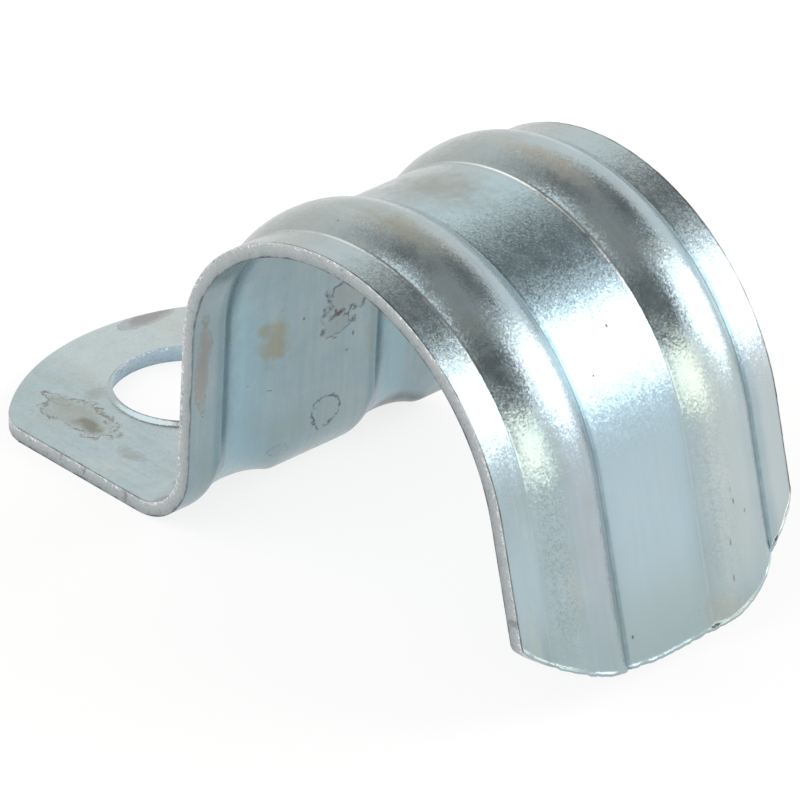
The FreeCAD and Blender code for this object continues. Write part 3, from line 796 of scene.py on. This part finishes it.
    # stains and pits are duller and less metallic than the plate
    filmMetal, filmRough = look["film"]
    metal = addNode(tree, "MapRange", {"Value": film, "To Min": 1.0, "To Max": filmMetal})[0]
    tree.links.new(metal, shader["Metallic"])
    low, high = [roughness + face["dull"] for roughness in look["roughness"]]
    sheen = addNode(tree, "MapRange", {"Value": wobble, "From Min": 0.3, "From Max": 0.7, "To Min": low,
                                       "To Max": high})[0]
    dull = addNode(tree, "Math", {0: film, 1: filmRough, 2: sheen}, "MULTIPLY_ADD")[0]
    tree.links.new(dull, shader["Roughness"])

    normal = emboss(tree, [(place, 1 / look["wave"], 1.0, look["waveDepth"]),
                           (place, 1 / look["peel"], 1.5, look["peelDepth"] * face["grain"]),
                           (drawn["scratch"], 1.0, 2.0, look["scratchDepth"]),
                           (place, 1 / look["grain"], 2.0, look["grainDepth"] * face["grain"])])
    for bead in beads:
        normal = addNode(tree, "Bump", {"Height": bead, "Distance": beadHeight * mm * face["bead"],
                                        "Normal": normal})[0]
    tree.links.new(tiltGrains(tree, normal, crystals, look["crystalTilt"] * face["grain"]), shader["Normal"])
    return material


edgeLook = {
    # tints through the sheet, from the outer face to the inner
    "depth": [(0.0, "#c6cbcc"), (0.15, "#b2b8b9"), (0.55, "#aab1b2"), (0.88, "#9ea5a7"), (1.0, "#596266")],
    "uneven": (1.1, 0.5),       # how uneven those bands are: waves to the mm, and how far they reach
    "burnish": 0.22,            # roughness of the smooth band that the shear leaves first
    "torn": 0.4,                # and of the torn band below it
    "marks": (0.5, 0.1),        # shear marks along the edge and into it
    "marksDepth": 0.012,
    "tear": 0.3,
    "tearDepth": 0.03,
    "facets": (0.13, 0.2),      # broken grains that catch the light, and how far they tilt
    "hole": ("#9dbccd", 0.6, 4.2, 5.0),     # passivation that ran together in it: tint, share, how far out
    "speckSize": 0.16,          # painted glints: near-white specks by the outer face, and darker specks between them
    # their tint, share, where in the noise they start and are whole, and how far into the edge they reach
    "specks": [("#f4f6f6", 0.9, 0.56, 0.64, 0.3), ("#6f7678", 0.3, 0.40, 0.33, 1.4)],
}


def edgeFinish():
    # sheared steel, plated over: a smooth bright band under the outer face, torn and duller towards the inner
    look = edgeLook
    material, tree, shader, place, flat = newFinish("shearedZincEdge")
    shader["Metallic"].default_value = 1.0
    under = addNode(tree, "Attribute", None, {"attribute_name": "under"})["Fac"]
    unevenOften, unevenShare = look["uneven"]
    uneven = addNode(tree, "TexNoise", {"Vector": place, "Scale": unevenOften, "Detail": 4.0, "Roughness": 0.6})[0]
    depth = addNode(tree, "Math", {0: uneven, 1: unevenShare, 2: under}, "MULTIPLY_ADD")[0]
    depth = addNode(tree, "Math", {0: depth, 1: unevenShare / 2}, "SUBTRACT")[0]
    ramp = addNode(tree, "ValToRGB", {"Fac": depth})
    fillRamp(ramp, [(at, toLinear(tint)) for at, tint in look["depth"]])

    holeTint, holeShare, holeEdge, holeGone = look["hole"]
    fromHole = addNode(tree, "VectorMath", {0: place, 1: (1.0, 1.0, 0.0)}, "MULTIPLY")[0]
    fromHole = addNode(tree, "VectorMath", {0: fromHole}, "LENGTH")["Value"]
    inHole = addNode(tree, "MapRange", {"Value": fromHole, "From Min": holeEdge, "From Max": holeGone,
                                        "To Min": holeShare, "To Max": 0.0}, smooth)[0]
    coats = [(holeTint, [inHole], False)]
    specks = addNode(tree, "TexNoise", {"Vector": place, "Scale": 1 / look["speckSize"], "Roughness": 0.7})[0]
    for tint, share, start, whole, reach in look["specks"]:
        part = addNode(tree, "MapRange", {"Value": specks, "From Min": start, "From Max": whole, "To Max": share})[0]
        near = addNode(tree, "MapRange", {"Value": under, "From Min": reach / 2, "From Max": reach, "To Min": 1.0,
                                          "To Max": 0.0})[0]
        coats.append((tint, [part, near], False))
    color, _ = paint(tree, ramp[0], coats)
    tree.links.new(color, shader["Base Color"])
    rough = addNode(tree, "MapRange", {"Value": depth, "From Min": 0.2, "From Max": 0.7, "To Min": look["burnish"],
                                       "To Max": look["torn"]}, smooth)[0]
    tree.links.new(rough, shader["Roughness"])

    marksLong, marksDeep = look["marks"]
    along = addNode(tree, "SeparateXYZ", {0: flat})["X"]
    along = addNode(tree, "Math", {0: along, 1: marksLong}, "DIVIDE")[0]
    into = addNode(tree, "Math", {0: under, 1: strip["gauge"] / marksDeep}, "MULTIPLY")[0]
    edgeMap = addNode(tree, "CombineXYZ", {0: along, 1: into})[0]
    normal = emboss(tree, [(edgeMap, 1.0, 3.0, look["marksDepth"]),
                           (place, 1 / look["tear"], 3.0, look["tearDepth"])])
    facet, lean = look["facets"]
    cells = addNode(tree, "TexVoronoi", {"Vector": place, "Scale": 1 / facet})["Color"]
    tree.links.new(tiltGrains(tree, normal, cells, lean), shader["Normal"])
    return material


# each face: what the clouds' tints are multiplied by, the shares of what is named, and its zones, each with its
# place across and along the flat blank and how soft it ends there, in mm, tint, share, and True if it is grainy
outerFace = {
    "tint": (0.97, 0.95, 0.94, 1), "crease": 1.3, "band": 0.55, "dull": 0.0,
    "grain": 1.0, "bead": 1.0, "bare": 1.4,
    "zones": [
        # painted shade: darker grainy stripes down the leg on each rib's near flank
        ((-7.4, -5.9), (saddleEnd - 4, legEnd - 3.5), (0.5, 2.5), "#59685e", 0.24, True),
        ((3.5, 5.0), (saddleEnd - 2, legEnd - 3.5), (0.5, 2.5), "#59685e", 0.24, True),
        # painted highlight: lighter on the far rib's crest and far flank, and on the far flange, down the leg
        ((3.9, 6.5), (saddleEnd - 4, legEnd - 2.5), (0.8, 2.5), "#ccd4cf", 0.45),
        ((8.2, 9.5), (saddleEnd - 7, legEnd - 3), (0.4, 2.0), "#ccd2d2", 0.5),
        ((-3.5, 9.5), (-2.0, footEnd), (1.5, 1.0), "#c6cac5", 0.4),
        ((-2.4, 2.4), (saddleEnd - 1, legEnd - 2), (0.8, 2.0), "#c0d0d8", 0.3),
        ((-5.4, -3.2), (saddleEnd - 3, legEnd - 4), (0.6, 3.0), "#c3bfca", 0.22),
        ((-9.5, -7.6), (saddleEnd + 1, legEnd - 5), (0.3, 2.0), "#b5cbd3", 0.35),
        # painted shade: darker towards the toe on the near flange and the middle band
        ((-9.5, -7.6), (legEnd - 3.5, legEnd + 1), (0.3, 1.5), "#8f9c9f", 0.4),
        ((-3.4, 3.4), (legEnd - 4.2, legEnd + 1), (1.0, 1.6), "#9fa9a2", 0.3),
        ((-9.5, 9.5), (shoulderEnd - 4, shoulderEnd + 6), (0.5, 4.0), "#9b9684", 0.42),
    ],
}
innerFace = {
    # the tints here are multiplied down to about three quarters: painted shade, for the shadowed table under the arch
    # that this face reflects
    "tint": (0.74, 0.755, 0.75, 1), "crease": 0.4, "band": 0.0, "dull": 0.06,
    "grain": 0.03, "bead": 0.0, "bare": 0.8,
    "zones": [
        # painted shade: a dark line along the near rib's near flank, seen edge on
        ((-7.7, -6.9), (footEnd, saddleEnd), (0.25, 3.0), "#4f7a88", 0.5),
        ((-6.8, -5.1), (footEnd, saddleEnd), (0.35, 3.0), "#93bccb", 0.25),
        ((-6.8, -3.2), (footEnd, shoulderEnd - 6), (1.4, 2.0), "#93bccb", 0.3),
        # painted shade: a dark line along the far rib's near flank, seen edge on
        ((3.0, 3.7), (footEnd, saddleEnd), (0.25, 3.0), "#4f7a88", 0.5),
        ((3.9, 6.4), (footEnd, saddleEnd), (0.4, 3.0), "#93bccb", 0.3),
        # painted shade: dark where the fold starts, on the far side, for the shadowed table it reflects
        ((2.6, 9.5), (footEnd - 2, footEnd + 3.0), (0.5, 0.6), "#3f5053", 0.85),
    ],
}
zincOuter = zincFinish("blueZincOuter", outerStains, outerFace)
zincInner = zincFinish("blueZincInner", innerStains, innerFace)
strap = makeStrap(zincOuter, zincInner, edgeFinish())
strap.data.transform(Matrix.Scale(mm, 4))
strap.data.update()
for polygon in strap.data.polygons:
    polygon.use_smooth = True
print("strap made", len(strap.data.polygons), "faces")
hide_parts("strap")
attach(strap, "root")


# Studio: a white table in a pale room that is dimmer overhead, with two soft boxes to the right and behind

studio = {
    # radiance by height above the horizon, in degrees, as a share of white
    "room": [(0, (1.0, 0.98, 0.96)), (30, (0.98, 0.96, 0.93)), (46, (0.66, 0.62, 0.57)), (60, (0.42, 0.4, 0.38)),
             (90, (0.47, 0.45, 0.43))],
    # bearing from +X towards +Y and height of the middle, half sizes and tilt, in degrees, whether it has
    # corners, softness and radiance
    "boxes": {
        "windowGlow": ((58, 24), (52, 30), -30, False, 0.35, (1.15, 1.17, 1.2)),
        "window": ((54, 28), (35, 19), -32, False, 0.22, (3.0, 3.0, 3.05)),
        "warmBox": ((-4, 18), (16, 12), 0, True, 0.25, (2.5, 2.42, 2.08)),
        "paleBehind": ((138, 27), (20, 13), 0, False, 0.4, (1.12, 1.1, 1.06)),
        "darkRight": ((-7, 49), (36, 15), 0, False, 0.4, (0.18, 0.18, 0.18)),
        "darkBehind": ((96, 57), (28, 10), -8, False, 0.5, (0.22, 0.22, 0.22)),
        "darkLeft": ((157, 68), (22, 11), 0, False, 0.5, (0.24, 0.23, 0.22)),
        "frontFill": ((-110, 40), (50, 32), 0, True, 0.2, (1.6, 1.6, 1.58)),
    },
}


def makeWorld():
    world = bpy.data.worlds.new("studio")
    world.use_nodes = True
    tree = world.node_tree
    toward = addNode(tree, "TexCoord")["Generated"]
    parts = addNode(tree, "SeparateXYZ", {0: toward})
    bearing = addNode(tree, "Math", {0: parts["Y"], 1: parts["X"]}, "ARCTAN2")[0]
    rise = addNode(tree, "Math", {0: parts["Z"]}, "ARCSINE")[0]
    angles = addNode(tree, "CombineXYZ", {0: bearing, 1: rise})[0]
    angles = addNode(tree, "VectorMath", {0: angles, "Scale": math.degrees(1)}, "SCALE")[0]
    height = addNode(tree, "SeparateXYZ", {0: angles})["Y"]
    share = addNode(tree, "MapRange", {"Value": height, "From Max": 90.0})[0]
    room = addNode(tree, "ValToRGB", {"Fac": share})
    fillRamp(room, [(degrees / 90, (*light, 1.0)) for degrees, light in studio["room"]])
    light = room[0]
    for name, (middle, half, tilt, cornered, soft, radiance) in studio["boxes"].items():
        fromMiddle = addNode(tree, "Mapping", {"Vector": angles, "Location": (*middle, 0),
                                               "Rotation": (0, 0, math.radians(tilt)), "Scale": (*half, 1)},
                             {"vector_type": "TEXTURE", "label": name})[0]
        if cornered:
            apart = addNode(tree, "VectorMath", {0: fromMiddle}, "ABSOLUTE")[0]
            sides = addNode(tree, "SeparateXYZ", {0: apart})
            out = addNode(tree, "Math", {0: sides["X"], 1: sides["Y"]}, "MAXIMUM")[0]
        else:
            out = addNode(tree, "VectorMath", {0: fromMiddle}, "LENGTH")["Value"]
        inside = addNode(tree, "MapRange", {"Value": out, "From Min": 1 - soft, "From Max": 1 + soft, "To Min": 1.0,
                                            "To Max": 0.0}, smooth)[0]
        light = addNode(tree, "Mix", {"Factor": inside, 6: light, 7: (*radiance, 1.0)}, ofColor)[2]
    tree.links.new(light, tree.nodes["Background"].inputs["Color"])
    bpy.context.scene.world = world


table = {
    "reach": 3.0,               # m
    "drop": 0.02,               # mm below the foot
    "paper": "#f8f8f8",
    "lift": 0.78,               # share of plain white mixed in where it is seen as background
    "white": 1.03,
}


def makeTable():
    # matt white table, lifted towards full white for the camera and for reflections, so its shadows stay faint
    reach = table["reach"]
    floor = bpy.data.objects.new("floor", bpy.data.meshes.new("floor"))
    floor.data.from_pydata([(-reach, -reach, 0), (reach, -reach, 0), (reach, reach, 0), (-reach, reach, 0)], [],
                           [(0, 1, 2, 3)])
    floor.location.z = -table["drop"] * mm
    addToScene(floor)
    paper = bpy.data.materials.new("whitePaper")
    paper.use_nodes = True
    tree = paper.node_tree
    tree.nodes.remove(tree.nodes["Principled BSDF"])
    matt = addNode(tree, "BsdfDiffuse", {"Color": toLinear(table["paper"])})[0]
    path = addNode(tree, "LightPath")
    seen = path["Is Camera Ray"]
    for ray in ("Is Glossy Ray", "Is Transmission Ray"):
        seen = addNode(tree, "Math", {0: seen, 1: path[ray]}, "MAXIMUM")[0]
    share = addNode(tree, "Math", {0: seen, 1: table["lift"]}, "MULTIPLY")[0]
    white = addNode(tree, "Emission", {"Color": (1, 1, 1, 1), "Strength": table["white"]})[0]
    both = addNode(tree, "MixShader", {0: share, 1: matt, 2: white})[0]
    tree.links.new(both, tree.nodes["Material Output"].inputs["Surface"])
    floor.data.materials.append(paper)


makeTable()
makeWorld()
bpy.context.scene.view_settings.view_transform = "Standard"
print("studio made")
